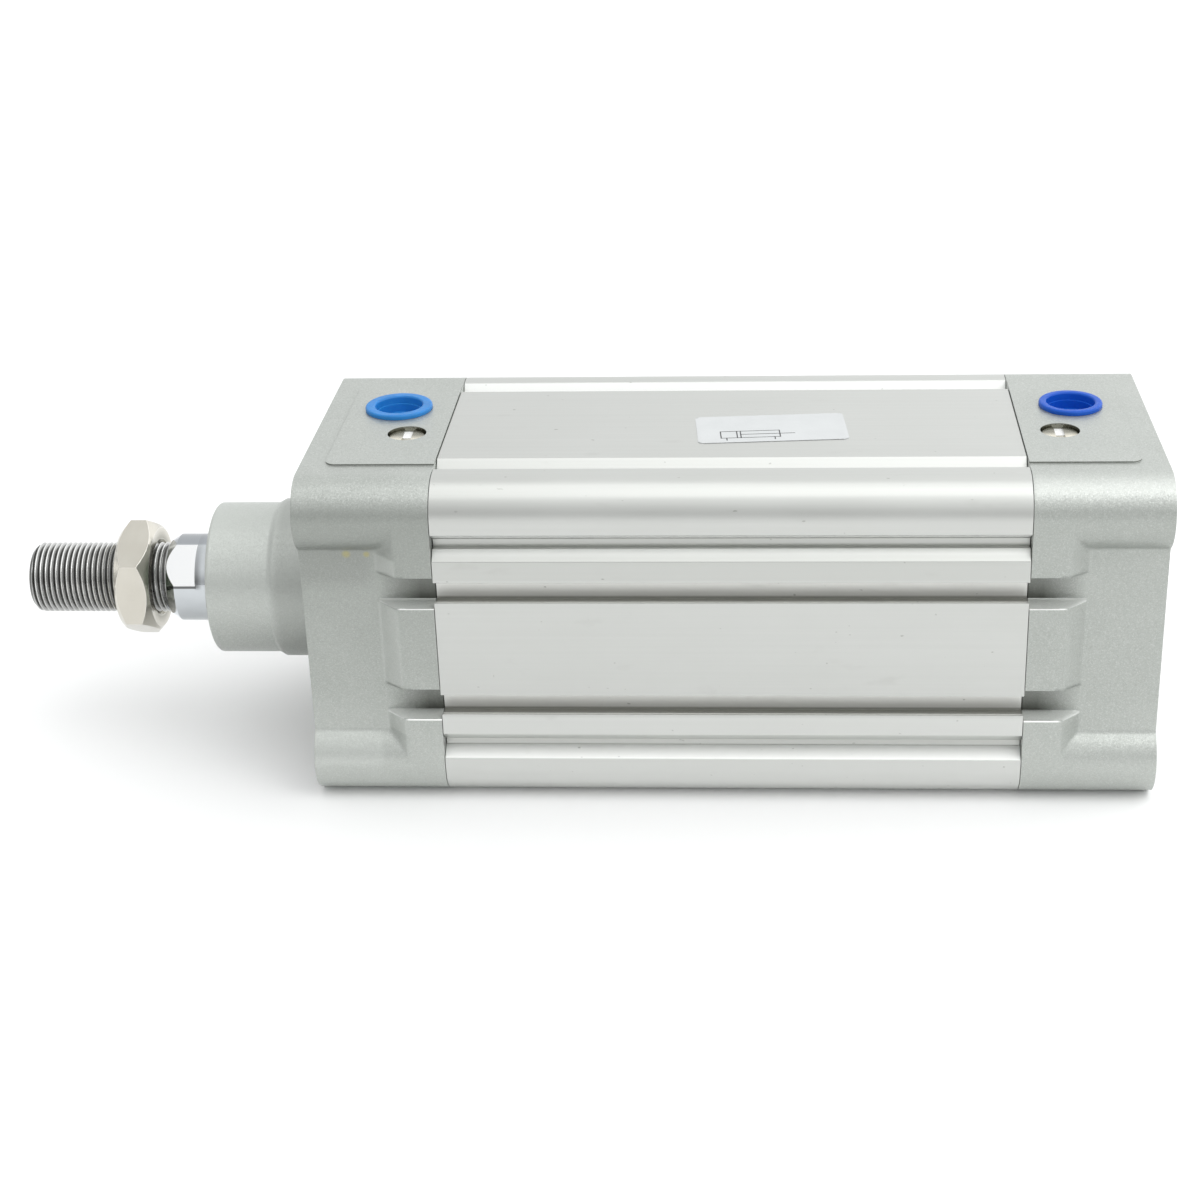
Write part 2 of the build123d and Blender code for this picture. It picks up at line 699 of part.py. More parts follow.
# barrel: everything that stays still
save("profile_tube", profile_tube())
save("front_cap", front_cap())
save("front_nose", front_nose())
save("rear_cap", rear_cap())
save("front_cap_screws", *[cap_screw(y, z) for y, z in CORNERS])
save("rear_cap_screws", *[to_rear(cap_screw(y, z)) for y, z in CORNERS])
save("front_tube_seal", tube_seal())
save("rear_tube_seal", to_rear(tube_seal()))
save("front_cushion_seal", cushion_seal())
save("rear_cushion_seal", to_rear(cushion_seal()))
save("rod_bearing", rod_bearing())
save("rod_seal", rod_seal())
save("label", label())

# rings that slide with the piston but needn't turn with it
save("front_piston_seal", lip_seal())
save("rear_piston_seal", piston_mirror(lip_seal()))
save("guide_ring", guide_ring())

# rod and piston
save("piston_rod", piston_rod())
save("front_piston_half", front_piston_with_o_ring_groove())
save("rear_piston_half", piston_mirror(front_piston_half()))
save("piston_magnet", piston_magnet())
save("rod_o_ring", rod_o_ring())
save("front_bumper", bumper())
save("rear_bumper", piston_mirror(bumper()))
save("front_cushion_spear", front_spear())
save("rear_cushion_spear", rear_spear())
save("piston_nut", piston_nut())
save("rod_nut", rod_nut())

# small moving pieces in the caps
save("front_port_plug", port_plug(FRONT_PLUG_FLANGE_R))
save("rear_port_plug", to_rear(port_plug(REAR_PLUG_FLANGE_R)))
save("front_cushion_needle", cushion_needle())
save("rear_cushion_needle", to_rear(cushion_needle()))
save("front_needle_seal", needle_seal())
save("rear_needle_seal", to_rear(needle_seal()))
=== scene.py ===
import math

import bmesh
import bpy
from mathutils import Matrix, Vector

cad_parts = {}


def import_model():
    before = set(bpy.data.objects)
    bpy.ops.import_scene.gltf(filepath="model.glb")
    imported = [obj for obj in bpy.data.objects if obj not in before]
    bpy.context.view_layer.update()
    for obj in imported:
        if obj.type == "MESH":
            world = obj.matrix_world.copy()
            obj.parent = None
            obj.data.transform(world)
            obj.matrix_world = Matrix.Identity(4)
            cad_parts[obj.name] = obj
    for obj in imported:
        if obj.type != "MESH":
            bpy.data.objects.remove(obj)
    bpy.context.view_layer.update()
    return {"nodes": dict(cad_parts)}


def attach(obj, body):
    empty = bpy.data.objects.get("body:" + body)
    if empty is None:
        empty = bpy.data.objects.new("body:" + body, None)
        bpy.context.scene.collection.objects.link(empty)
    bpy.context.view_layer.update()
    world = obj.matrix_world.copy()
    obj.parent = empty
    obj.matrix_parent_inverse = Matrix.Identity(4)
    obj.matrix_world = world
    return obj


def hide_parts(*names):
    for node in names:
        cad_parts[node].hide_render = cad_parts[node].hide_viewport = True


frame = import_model()
nodes = frame["nodes"]

MM = 0.001

# ---- sizes that this script shares with the CAD model, in millimetres ----
ROD_SHOULDER = -46.0
THREAD_END = -86.0
THREAD_R = 10.0
THREAD_PITCH = 1.5
THREAD_DEPTH = 0.92
THREAD_CHAMFER = 1.5
THREAD_OVERLAP = 0.3                # how far the modelled thread runs into the shoulder
SHOULDER_END = -43.4                # where the cone behind the thread reaches the rod's full width
WRENCH_FLATS = 22.0
FLATS_TILT = math.radians(41.6)
FLATS_END = -37.3
SEAM_REAR = 192.0
LENGTH = 228.0
MIDDLE = LENGTH / 2
HALF = 46.5                         # from the axis to the sides, top and bottom of tube and caps
TOP = 46.95
PORT = (20.5, 11.0)
PORT_LEAD_IN_R = 8.33
NEEDLE = (25.5, -8.0)
NEEDLE_HOLE_R = 5.3
NEEDLE_TOP = 46.05
SCREW_AT = 36.0
SCREW_HOLE_R = 8.05
SLOT_Z = 16.6                       # middle of the sensor slots, above and below the axis
SLOT_HALF = 4.0
NOTCH_LOW, NOTCH_HIGH = 12.0, 20.9  # the gap between a cap's side blocks
GROOVE_CHANNEL = (27.7, 30.7)       # across an outer groove, from the middle plane
GROOVE_WALL = (30.75, 32.95)
GROOVE_FLOOR = 42.3                 # from the axis
SEAM_AWAY = SEAM_REAR - MIDDLE      # from the middle of the length to a cap's seam,
RAMP_TOP = SEAM_AWAY + 10.0         # to where its side blocks start to slope down
RAMP_FOOT = SEAM_AWAY + 15.5        # and to where they meet the recess
TO_FRONT = (42.0, 40.0)             # where a tone of the rear cap turns into that of the front cap
LABEL_AT = (125.0, -4.5)
LABEL_TURN = math.radians(4.2)
LABEL_TOP = 46.62

# ---- floor, in metres ----
FLOOR_HALF = 400.0                  # its edge lies on the horizon
FLOOR_GAP = 0.0002

# ---- the light tent: its radiance by the angle up from the photographer's side and over the top ----
TENT = [(0, 0.78), (12, 0.68), (20, 0.80), (30, 1.0), (46, 1.16), (100, 1.14), (125, 1.22), (180, 1.15)]
TENT_LEAN = 0.40                     # how much brighter it is towards +X


# ---------------------------------------------------------------- materials

class Shader:
    """A Principled material whose colour, roughness and bump come from procedural nodes."""

    MIX_A, MIX_B, MIX_RESULT = 6, 7, 2      # the mix node's colour sockets

    def __init__(self, name, color, roughness, metallic=0.0, **sockets):
        self.material = bpy.data.materials.new(name)
        self.material.use_nodes = True
        self.material.diffuse_color = (*color, 1)
        self.tree = self.material.node_tree
        self.bsdf = self.tree.nodes["Principled BSDF"]
        self.bsdf.inputs["Base Color"].default_value = (*color, 1)
        self.bsdf.inputs["Roughness"].default_value = roughness
        self.bsdf.inputs["Metallic"].default_value = metallic
        for socket, value in sockets.items():
            self.bsdf.inputs[socket.replace("_", " ")].default_value = value
        self.normal = None              # the socket with the normal as tilted so far
        self.place = self.add("ShaderNodeTexCoord").outputs["Object"]

    def add(self, kind, inputs=None, **properties):
        node = self.tree.nodes.new(kind)
        for key, value in properties.items():
            setattr(node, key, value)
        for key, value in (inputs or {}).items():
            if isinstance(value, bpy.types.NodeSocket):
                self.tree.links.new(value, node.inputs[key])
            else:
                node.inputs[key].default_value = value
        return node

    def math(self, operation, a, b=0.0, c=0.0):
        return self.add("ShaderNodeMath", {0: a, 1: b, 2: c}, operation=operation).outputs[0]

    def stretched(self, stretch):
        """Object coordinates scaled by (x, y, z)."""
        return self.add("ShaderNodeMapping", {"Vector": self.place, "Scale": stretch}).outputs[0]

    def noise(self, size_mm, detail=2.0, stretch=(1, 1, 1), roughness=0.5):
        """Noise from 0 to 1 whose features are about size_mm across."""
        node = self.add("ShaderNodeTexNoise", {
            "Vector": self.stretched(stretch), "Scale": 1 / (size_mm * MM), "Detail": detail,
            "Roughness": roughness,
        })
        return node.outputs["Fac"]

    def cells(self, size_mm, stretch=(1, 1, 1)):
        """A random value from 0 to 1 for each cell about size_mm across."""
        node = self.add("ShaderNodeTexVoronoi", {
            "Vector": self.stretched(stretch), "Scale": 1 / (size_mm * MM),
        })
        return self.add("ShaderNodeSeparateColor", {0: node.outputs["Color"]}).outputs[0]

    def soft_edges(self, radius_mm):
        """Rounds the shading over the edges, by a radius that may be a socket; goes before the bumps."""
        radius = self.math("MULTIPLY", radius_mm, MM)
        self.normal = self.add("ShaderNodeBevel", {"Radius": radius}, samples=6).outputs[0]

    def flakes(self, size_mm, tilt):
        """Tilts the normal of each cell about size_mm across its own way, as metal flakes do."""
        cell = self.add("ShaderNodeTexVoronoi", {"Vector": self.place, "Scale": 1 / (size_mm * MM)})
        lean = self.add("ShaderNodeVectorMath", {0: cell.outputs["Color"], 1: (0.5, 0.5, 0.5)},
                        operation="SUBTRACT").outputs[0]
        lean = self.add("ShaderNodeVectorMath", {0: lean, "Scale": tilt}, operation="SCALE").outputs[0]
        upright = self.normal or self.add("ShaderNodeNewGeometry").outputs["Normal"]
        leaning = self.add("ShaderNodeVectorMath", {0: upright, 1: lean}, operation="ADD").outputs[0]
        self.normal = self.add("ShaderNodeVectorMath", {0: leaning}, operation="NORMALIZE").outputs[0]
        self.tree.links.new(self.normal, self.bsdf.inputs["Normal"])

    def between(self, value, low, high, soft):
        """1 between low and high, falling to 0 over soft on both sides."""
        return self.math("MULTIPLY", self.fit(value, low - soft, low), self.fit(value, high + soft, high))

    def fit(self, value, low, high, to_low=0.0, to_high=1.0):
        """value from low..high onto to_low..to_high, clamped."""
        return self.add("ShaderNodeMapRange", {
            "Value": value, "From Min": low, "From Max": high, "To Min": to_low, "To Max": to_high,
        }).outputs["Result"]

    def mix(self, fac, a, b):
        """Colour a where fac is 0, b where it is 1; both may be sockets."""
        node = self.add("ShaderNodeMix", {"Factor": fac}, data_type="RGBA")
        for index, value in ((self.MIX_A, a), (self.MIX_B, b)):
            if isinstance(value, bpy.types.NodeSocket):
                self.tree.links.new(value, node.inputs[index])
            else:
                node.inputs[index].default_value = (*value, 1)
        return node.outputs[self.MIX_RESULT]

    def axis(self, name):
        """The object coordinate x, y or z in millimetres."""
        split = self.add("ShaderNodeSeparateXYZ", {0: self.place}).outputs[name.upper()]
        return self.math("MULTIPLY", split, 1 / MM)

    def distance(self, a, at_a, b, at_b):
        """Distance in millimetres from the line through (at_a, at_b) in the plane of axes a and b."""
        da = self.math("SUBTRACT", self.axis(a), at_a)
        db = self.math("SUBTRACT", self.axis(b), at_b)
        squares = self.math("ADD", self.math("MULTIPLY", da, da), self.math("MULTIPLY", db, db))
        return self.math("SQRT", squares)

    def away(self, name, centre=0.0):
        """Millimetres from the plane at centre across the axis, on either side."""
        offset = self.math("SUBTRACT", self.axis(name), centre) if centre else self.axis(name)
        return self.math("ABSOLUTE", offset)

    def slot_height(self):
        """Height in millimetres, repeating so that the lower slots have the upper slots' values."""
        return self.math("FLOORED_MODULO", self.axis("z"), 2 * SLOT_Z)

    def product(self, first, *others):
        for other in others:
            first = self.math("MULTIPLY", first, other)
        return first

    def color(self, value):
        self.tree.links.new(value, self.bsdf.inputs["Base Color"])

    def rough(self, value):
        self.tree.links.new(value, self.bsdf.inputs["Roughness"])

    def metal(self, value):
        self.tree.links.new(value, self.bsdf.inputs["Metallic"])

    def bump(self, height, depth_mm):
        """Adds a bump of depth_mm on top of those before it."""
        inputs = {"Height": height, "Distance": depth_mm * MM, "Strength": 1.0}
        if self.normal:
            inputs["Normal"] = self.normal
        self.normal = self.add("ShaderNodeBump", inputs).outputs[0]
        self.tree.links.new(self.normal, self.bsdf.inputs["Normal"])


def anodised_aluminium():
    """Satin extrusion: faint die lines along X, soft cloudy patches, a few dark smudges and specks."""
    s = Shader("anodised_extrusion", (0.55, 0.56, 0.54), 0.34, 1.0)
    lines = s.noise(0.9, 2.0, (0.006, 1, 1), 0.7)
    cloud = s.noise(26.0, 4.0, (0.6, 1, 1), 0.55)
    smudge = s.fit(s.noise(7.0, 3.0, (0.45, 1.0, 1.0), 0.55), 0.66, 0.80)
    specks = s.fit(s.noise(1.3, 1.0, (0.6, 1, 1)), 0.77, 0.82)
    tone = s.mix(s.fit(cloud, 0.3, 0.7), (0.548, 0.556, 0.536), (0.575, 0.583, 0.565))
    tone = s.mix(s.fit(lines, 0.35, 0.65, 0.0, 0.16), tone, (0.50, 0.51, 0.49))
    # painted light: the tube is made lighter low down, most in the strip under the lower sensor slots
    low = s.product(s.between(s.axis("z"), -26.5, -20.5, 0.6), 0.38)
    low = s.math("MAXIMUM", low, s.fit(s.axis("z"), -20.0, -44.0, 0.0, 0.75))
    tone = s.mix(low, tone, (0.72, 0.73, 0.71))
    # painted shade: a darker strip between the upper grooves and the upper sensor slots
    high = s.product(s.between(s.axis("z"), 20.5, 26.5, 0.6), 0.40)
    tone = s.mix(high, tone, (0.47, 0.48, 0.455))
    # painted light: the sloping walls of the outer grooves are made bright
    tone = s.mix(groove_wall_light(s), tone, (0.93, 0.94, 0.92))
    slot, bottom = sensor_slots(s)
    # painted light: the inside of the sensor slots is made lighter
    tone = s.mix(s.product(slot, 0.85), tone, (0.90, 0.90, 0.87))
    # painted shade: the sensor slots darken towards their lower wall
    tone = s.mix(bottom, tone, (0.20, 0.20, 0.175))
    tone = s.mix(s.product(smudge, 0.28), tone, (0.42, 0.42, 0.40))
    tone = s.mix(s.product(specks, 0.5), tone, (0.22, 0.22, 0.20))
    # painted shade in the channels at the bottom of the outer grooves
    s.color(s.mix(s.product(groove_channel_shade(s), 0.25), tone, (0.24, 0.245, 0.22)))
    open_faces = s.math("MAXIMUM", slot, s.product(groove_wall_light(s), 0.8))
    s.metal(s.fit(open_faces, 0.0, 1.0, 1.0, 0.30))
    s.rough(s.fit(s.math("ADD", s.product(cloud, 0.6), s.product(lines, 0.4)),
                  0.3, 0.7, 0.30, 0.38))
    s.bump(lines, 0.004)
    s.bump(s.noise(0.25, 2.0), 0.003)
    return s.material


def sensor_slots(s):
    """Masks of the sensor slots' inside and of the painted shade that darkens them towards their lower wall.
    """
    up = s.slot_height()
    y, z = (s.away(name) for name in "yz")
    deep = s.product(s.fit(y, HALF - 0.2, HALF - 0.7), s.fit(z, NOTCH_HIGH + 0.3, NOTCH_HIGH))
    inside = s.product(s.between(up, SLOT_Z - SLOT_HALF, SLOT_Z + SLOT_HALF, 0.05), deep)
    # painted shade, deepening down the slot and darkest in a line along its lower wall
    depth_shade = s.fit(up, 17.0, 13.4, 0.0, 0.30)
    foot_shade = s.fit(up, 13.6, 13.1, 0.0, 0.55)
    return inside, s.product(inside, s.math("ADD", depth_shade, foot_shade))


def groove_band(s, across, off, on):
    """A band of the outer grooves on all four sides, fading in from off to on, both from the axis."""
    y, z = (s.away(name) for name in "yz")
    side = s.product(s.between(z, *across, 0.1), s.fit(y, off, on))
    top = s.product(s.between(y, *across, 0.1), s.fit(z, off, on))
    return s.math("MAXIMUM", side, top)


def groove_wall_light(s):
    """The sloping walls of the outer grooves on the corner lobes' side, made bright with painted light."""
    return groove_band(s, GROOVE_WALL, GROOVE_FLOOR - 0.1, GROOVE_FLOOR + 0.1)


def groove_channel_shade(s):
    """Painted shade in the narrow channels at the bottom of the outer grooves."""
    return groove_band(s, GROOVE_CHANNEL, GROOVE_FLOOR + 1.7, GROOVE_FLOOR + 0.1)


def cap_lacquer():
    """Sprayed grey metallic lacquer on a casting, machined bright inside its round holes."""
    s = Shader("cap_lacquer", (0.42, 0.44, 0.42), 0.36, 0.6, Coat_Weight=0.08, Coat_Roughness=0.20)
    s.soft_edges(s.fit(ramp_mask(s), 0.0, 1.0, 0.25, 1.7))
    peel = s.noise(0.9, 2.0)
    cloud = s.noise(22.0, 3.0)
    tone = s.mix(s.fit(cloud, 0.3, 0.7), (0.405, 0.425, 0.40), (0.435, 0.455, 0.43))
    tone = s.mix(s.fit(s.cells(0.22), 0.6, 1.0, 0.0, 0.40), tone, (0.66, 0.68, 0.66))
    tone = s.mix(s.fit(s.cells(0.26, (1, 1, 1.1)), 0.35, 0.0, 0.0, 0.30), tone, (0.27, 0.28, 0.265))
    # painted light on the nose's top and painted shade on its collar
    bright, dull = nose_light_and_shade(s)
    tone = s.mix(bright, tone, (0.60, 0.625, 0.595))
    tone = s.mix(dull, tone, (0.24, 0.25, 0.235))
    tone = s.mix(rear_highlight(s), tone, (0.85, 0.87, 0.84))
    # painted shade on the near side of the caps
    tone = s.mix(near_side_shade(s), tone, (0.22, 0.235, 0.215))
    tone = s.mix(floor_glow(s), tone, (0.64, 0.665, 0.635))
    # painted shade under the upper lobe of the front cap
    tone = s.mix(under_lobe_shade(s), tone, (0.16, 0.165, 0.155))
    tone = s.mix(ramp_glow(s), tone, (0.80, 0.825, 0.79))
    tone = s.mix(notch_shade(s), tone, (0.055, 0.058, 0.048))
    ledges = notch_ledges(s)
    tone = s.mix(s.product(ledges, 0.4), tone, (0.90, 0.92, 0.89))
    # painted highlights on the upper edges of the side blocks
    tone = s.mix(edge_highlights(s), tone, (1.0, 1.0, 0.98))
    # painted shade along the step round the raised pad
    tone = s.mix(pad_step_shade(s), tone, (0.10, 0.105, 0.09))
    tone = s.mix(stains(s), tone, (0.42, 0.36, 0.10))
    bare = hole_mask(s)
    s.color(s.mix(bare, tone, (0.20, 0.20, 0.165)))
    s.metal(s.math("SUBTRACT", s.fit(bare, 0, 1, 0.6, 1.0), s.product(ledges, 0.4)))
    s.rough(s.math("SUBTRACT", s.fit(peel, 0.3, 0.7, 0.32, 0.41), s.product(bare, 0.12)))
    s.bump(peel, 0.020)
    s.flakes(0.26, 0.18)
    return s.material


def ramp_mask(s):
    """1 round the ramps of a cap's side blocks, whose edges are softly rounded in the casting."""
    inner = s.away("x", MIDDLE)
    return s.product(s.between(inner, RAMP_TOP - 2.0, RAMP_FOOT + 2.0, 0.4), s.fit(s.axis("z"), 38.0, 36.0))


def ramp_glow(s):
    """The ramps themselves, which catch the light, more on the front cap."""
    inner = s.away("x", MIDDLE)
    height = s.away("z")
    block = s.math("ADD", s.fit(height, NOTCH_LOW - 0.1, NOTCH_LOW - 0.3),
                   s.between(height, NOTCH_HIGH + 0.3, 25.5, 0.8))
    return s.product(s.between(inner, RAMP_TOP + 0.3, RAMP_FOOT - 0.3, 0.9), block,
                     s.fit(s.axis("x"), *TO_FRONT, 0.0, 0.22))


def floor_glow(s):
    """The lower part of the caps, lit by the floor, with a lit upper edge on the front cap's low lobe."""
    glow = s.product(s.fit(s.axis("z"), -14.0, -40.0, 0.0, 0.30), s.fit(s.axis("x"), *TO_FRONT, 0.70, 1.0))
    lobe = s.product(s.between(s.axis("z"), -34.5, -27.5, 1.5), s.fit(s.axis("x"), 20.0, 18.0, 0.0, 0.20))
    return s.math("ADD", glow, lobe)


def under_lobe_shade(s):
    """Painted shade on the near side of the front cap, just under its upper lobe."""
    return s.product(s.between(s.axis("z"), 19.0, 26.2, 4.0), s.fit(s.axis("y"), -40.5, -41.2),
                     s.fit(s.axis("x"), 21.0, 17.0, 0.0, 0.22), s.fit(s.axis("x"), 0.0, 0.4))


def near_side_shade(s):
    """Painted shade on the near side of the caps, darker high up, most on the front cap."""
    share = s.fit(s.axis("x"), *TO_FRONT, 0.20, 0.60)
    near = s.fit(s.axis("y"), -34.0, -41.0)
    height = s.fit(s.axis("z"), -30.0, 35.0)
    below_top = s.fit(s.axis("z"), 43.0, 38.5)
    on_cap = s.fit(s.axis("x"), -0.05, 0.05)
    return s.product(share, near, height, below_top, on_cap)


def nose_light_and_shade(s):
    """The nose: painted light on its top, and painted shade on the collar beside the mounting face."""
    on_nose = s.fit(s.axis("x"), 0.02, -0.02)
    bright = s.product(on_nose, s.fit(s.axis("z"), -7.0, 11.0, 0.05, 0.62))
    dull = s.product(on_nose, s.fit(s.axis("x"), -15.2, -11.5, 0.0, 0.45))
    return bright, dull


def rear_highlight(s):
    """A painted highlight on the rounded near edge on top of the rear cap."""
    rear = s.fit(s.axis("x"), SEAM_REAR - 1.0, SEAM_REAR + 1.0)
    return s.product(rear, s.fit(s.axis("y"), -36.0, -40.0), s.fit(s.axis("z"), 39.5, 43.5), 0.25)


def pad_step_shade(s):
    """Painted shade along the low step round the raised pad."""
    return s.product(s.between(s.axis("z"), HALF + 0.06, TOP - 0.11, 0.05), 0.8)


def notch_shade(s):
    """Dark on the bottom of the notches between a cap's side blocks, darkest low down."""
    up = s.slot_height()
    y, z = (s.away(name) for name in "yz")
    in_notch = s.product(s.between(up, NOTCH_LOW + 0.95, NOTCH_HIGH, 0.2),
                         s.fit(z, NOTCH_HIGH + 0.5, NOTCH_HIGH + 0.3))
    inner = s.away("x", MIDDLE)
    reach = s.fit(inner, RAMP_FOOT - 0.5, SEAM_AWAY + 4.0)
    return s.product(in_notch, reach, s.fit(y, HALF - 0.3, HALF - 3.0), s.fit(up, 21.0, 13.0, 0.45, 0.96))


def notch_ledges(s):
    """The lower walls of the notches, which face the light."""
    up = s.slot_height()
    y, z = (s.away(name) for name in "yz")
    inner = s.away("x", MIDDLE)
    reach = s.fit(inner, RAMP_FOOT + 0.1, RAMP_FOOT - 0.5)
    return s.product(s.between(up, NOTCH_LOW, NOTCH_LOW + 0.86, 0.04), s.fit(y, HALF - 0.25, HALF - 0.4),
                     s.fit(z, NOTCH_HIGH + 0.5, NOTCH_HIGH + 0.3), s.fit(y, 41.2, 41.4), reach)


def edge_highlights(s):
    """Painted highlights along the upper edges of a cap's side blocks."""
    up = s.slot_height()
    y, z = (s.away(name) for name in "yz")
    inner = s.away("x", MIDDLE)
    reach = s.fit(inner, RAMP_TOP, RAMP_TOP - 1.0)
    return s.product(s.between(up, NOTCH_LOW - 0.22, NOTCH_LOW + 0.26, 0.04),
                     s.fit(y, HALF - 0.35, HALF - 0.25), s.fit(z, NOTCH_HIGH + 0.7, NOTCH_HIGH + 0.5),
                     reach, 0.9)


def stains(s):
    """Small drops of dried preservative under the near lobe of the front cap."""
    found = None
    for x, z, radius in ((12.8, 25.8, 1.4), (18.2, 25.7, 1.1)):
        spot = s.fit(s.distance("x", x, "z", z), radius, radius * 0.4, 0.0, 0.5)
        found = spot if found is None else s.math("MAXIMUM", found, spot)
    return s.product(found, s.fit(s.axis("y"), -40.0, -41.0))


def hole_mask(s):
    """1 inside the needle, port and screw holes of both caps, 0 elsewhere."""
    edge = 0.12
    mask = None
    for (x, y), radius in ((NEEDLE, NEEDLE_HOLE_R), (PORT, PORT_LEAD_IN_R)):
        for end_x in (x, LENGTH - x):
            from_axis = s.distance("x", end_x, "y", y)
            inside = s.fit(from_axis, radius + edge, radius + edge / 2)
            found = s.product(inside, s.fit(s.axis("z"), TOP - 0.15, TOP - 0.30))
            mask = found if mask is None else s.math("MAXIMUM", mask, found)
    for y in (-SCREW_AT, SCREW_AT):
        for z in (-SCREW_AT, SCREW_AT):
            from_axis = s.distance("y", y, "z", z)
            inside = s.fit(from_axis, SCREW_HOLE_R + edge, SCREW_HOLE_R + edge / 2)
            mask = s.math("MAXIMUM", mask, inside)
    return mask


def chrome():
    """Hard-chromed, ground rod with a trace of grinding rings; its wrench flats are milled bright, with
    painted reflections round them.
    """
    s = Shader("hard_chrome", (0.52, 0.54, 0.57), 0.10, 1.0)
    rings = s.noise(0.5, 2.0, (1, 0.02, 0.02))
    flat = flat_mask(s)
    round_tone = s.mix(s.noise(6.0, 2.0), (0.51, 0.535, 0.555), (0.59, 0.615, 0.635))
    # painted light: the shoulder cone is made lighter
    cone = s.fit(s.axis("x"), SHOULDER_END + 0.1, SHOULDER_END - 0.1)
    round_tone = s.mix(cone, round_tone, (0.80, 0.83, 0.87))
    # painted reflections: dark tones above, beside and below the near wrench flat stand for the nose and nut
    # seen in the chrome
    along = flat_along(s)
    above = s.product(s.fit(along, 5.8, 6.6, 0.0, 0.60), s.fit(s.axis("x"), -32.0, -33.5))
    round_tone = s.mix(above, round_tone, (0.24, 0.255, 0.275))
    beside = s.product(s.fit(s.axis("x"), -35.3, -36.6),
                       s.fit(s.axis("x"), FLATS_END - 0.05, FLATS_END + 0.05),
                       s.fit(along, 7.0, -4.5, 0.1, 0.7), s.fit(along, -7.2, -6.4))
    round_tone = s.mix(beside, round_tone, (0.12, 0.12, 0.12))
    below = s.product(s.between(along, -6.7, -5.95, 0.1),
                      s.fit(s.axis("x"), FLATS_END + 0.4, FLATS_END + 0.2), 0.9)
    round_tone = s.mix(below, round_tone, (0.10, 0.10, 0.10))
    s.color(s.mix(flat, round_tone, (0.86, 0.865, 0.87)))
    s.rough(s.math("ADD", s.fit(rings, 0.3, 0.7, 0.05, 0.10), s.product(flat, 0.14)))
    s.bump(rings, 0.0015)
    return s.material


def flat_along(s):
    """Millimetres up the near wrench flat from its middle line."""
    return s.math("ADD", s.product(s.axis("y"), math.sin(FLATS_TILT)),
                  s.product(s.axis("z"), math.cos(FLATS_TILT)))


def flat_mask(s):
    """1 on the two wrench flats of the rod."""
    across = s.math("ADD", s.product(s.axis("y"), -math.cos(FLATS_TILT)),
                    s.product(s.axis("z"), math.sin(FLATS_TILT)))
    away = s.math("ABSOLUTE", s.math("SUBTRACT", s.math("ABSOLUTE", across), WRENCH_FLATS / 2))
    return s.product(s.fit(away, 0.16, 0.08), s.fit(s.axis("x"), FLATS_END + 0.1, FLATS_END))


def bare_steel(name, color, roughness, grain_mm=0.35):
    """Cut or plated steel with a fine grain and slightly uneven tone."""
    s = Shader(name, color, roughness, 1.0)
    grain = s.noise(grain_mm, 3.0)
    cloud = s.noise(5.0, 2.0)
    dark = tuple(channel * 0.82 for channel in color)
    s.color(s.mix(s.fit(cloud, 0.3, 0.7), dark, color))
    s.rough(s.fit(grain, 0.3, 0.7, roughness * 0.8, roughness * 1.25))
    s.bump(grain, 0.006)
    return s.material


def cut_thread():
    """Bare rolled thread, with painted highlights on its crests and painted shade in its roots."""
    s = Shader("cut_thread_steel", (0.45, 0.45, 0.45), 0.24, 1.0)
    from_axis = s.distance("y", 0.0, "z", 0.0)
    flank = s.mix(s.fit(s.noise(4.0, 2.0), 0.3, 0.7), (0.43, 0.43, 0.425), (0.54, 0.54, 0.535))
    # painted shade in the roots, then a painted highlight on the crests
    flank = s.mix(s.fit(from_axis, 9.55, 9.15), flank, (0.10, 0.10, 0.095))
    s.color(s.mix(s.fit(from_axis, 9.80, 9.95), flank, (0.78, 0.78, 0.77)))
    s.rough(s.fit(s.noise(0.6, 2.0, (1, 0.1, 0.1)), 0.3, 0.7, 0.18, 0.30))
    s.bump(s.noise(0.4, 2.0, (1, 0.1, 0.1)), 0.003)
    return s.material


def nut_nickel():
    """Nickel plate with a soft brushed grain, darker round the thread."""
    s = Shader("nickel_plate", (0.60, 0.575, 0.51), 0.20, 1.0)
    grain = s.noise(0.5, 2.0, (0.15, 1, 1))
    tone = s.mix(s.fit(s.noise(9.0, 2.0), 0.3, 0.7), (0.57, 0.545, 0.485), (0.62, 0.595, 0.535))
    from_axis = s.distance("y", 0.0, "z", 0.0)
    s.color(s.mix(s.fit(from_axis, 13.6, 11.2, 0.0, 0.75), tone, (0.16, 0.155, 0.11)))
    s.rough(s.fit(grain, 0.3, 0.7, 0.15, 0.24))
    s.bump(grain, 0.003)
    return s.material


